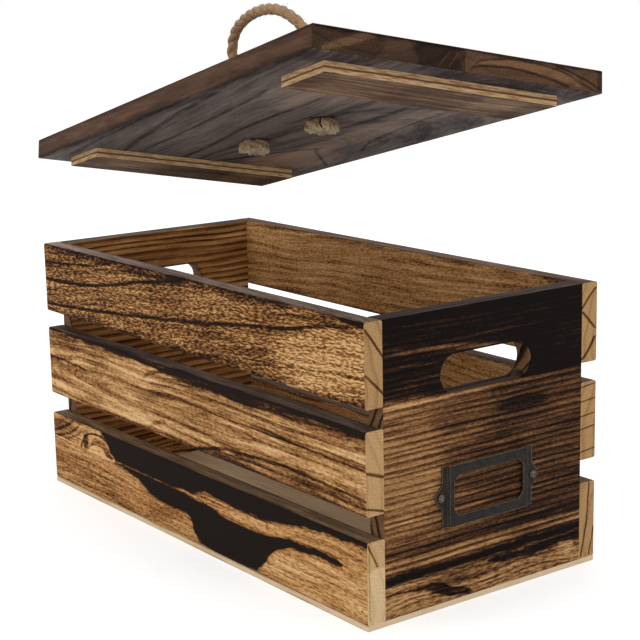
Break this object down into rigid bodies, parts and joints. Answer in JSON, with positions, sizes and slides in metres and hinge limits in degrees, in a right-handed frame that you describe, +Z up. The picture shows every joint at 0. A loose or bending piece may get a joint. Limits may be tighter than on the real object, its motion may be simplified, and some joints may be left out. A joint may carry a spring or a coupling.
{
  "type": "cd storage box",
  "caption": "Slatted wooden storage crate for music discs, of scorched boards, with hand holes, a metal card frame and a lift-off lid with a rope handle, shown held open.",
  "frame": {"origin": "middle of the underside of the crate's base", "axes": "+Z up, +X along the length towards the end with the card frame, +Y from the front slats to the back slats"},
  "size_m": [0.3739, 0.2075, 0.2998],
  "materials": {
    "slat_wood": "torched and brushed paulownia, golden brown with near-black char patches",
    "end_wood": "torched paulownia with light and dark grain stripes",
    "lid_wood": "torched paulownia, grey brown underneath with dark lines",
    "cleat_plywood": "three-ply, stained brown, pale plies at its edges",
    "base_sheet": "thin pale plywood, bare",
    "brad_wire": "dull flat wire",
    "card_frame_metal": "antique bronze, nearly black, worn to brass along the edges",
    "screw_steel": "aged grey steel",
    "jute_rope": "three-strand jute, tan and hairy"
  },
  "bodies": {
    "crate": {"base_board": "base_sheet", "slat_front_bottom": "slat_wood", "slat_front_middle": "slat_wood", "slat_front_top": "slat_wood", "slat_back_bottom": "slat_wood", "slat_back_middle": "slat_wood", "slat_back_top": "slat_wood", "end_left_lower": "end_wood", "end_left_upper": "end_wood", "end_right_lower": "end_wood", "end_right_upper": "end_wood", "slat_brads_front": "brad_wire", "slat_brads_back": "brad_wire", "base_brads": "brad_wire", "label_frame": "card_frame_metal", "label_screws": "screw_steel"},
    "rope_handle": {"rope_handle": "jute_rope"},
    "lid": {"lid_board_front": "lid_wood", "lid_board_back": "lid_wood", "lid_cleat_left": "cleat_plywood", "lid_cleat_right": "cleat_plywood", "cleat_brads": "brad_wire", "rope_knot_left": "jute_rope", "rope_knot_right": "jute_rope"}
  },
  "joints": [
    {"name": "lid_lift", "type": "hinge", "parent": "crate", "child": "rope_handle", "pos_m": [-0.3321, -0.0669, 0.39025], "axis": [-0.0737, -0.9206, -0.3834], "range_deg": [-14.02, 5]},
    {"name": "lid_swing", "type": "hinge", "parent": "rope_handle", "child": "lid", "pos_m": [0.04637, -0.03684, 0.24533], "axis": [0.9704, -0.0908, 0.2238], "range_deg": [-3.6, 9.8]}
  ],
  "couplings": [
    {"joint": "lid_swing", "follows": "lid_lift", "ratio": -0.69725}
  ]
}
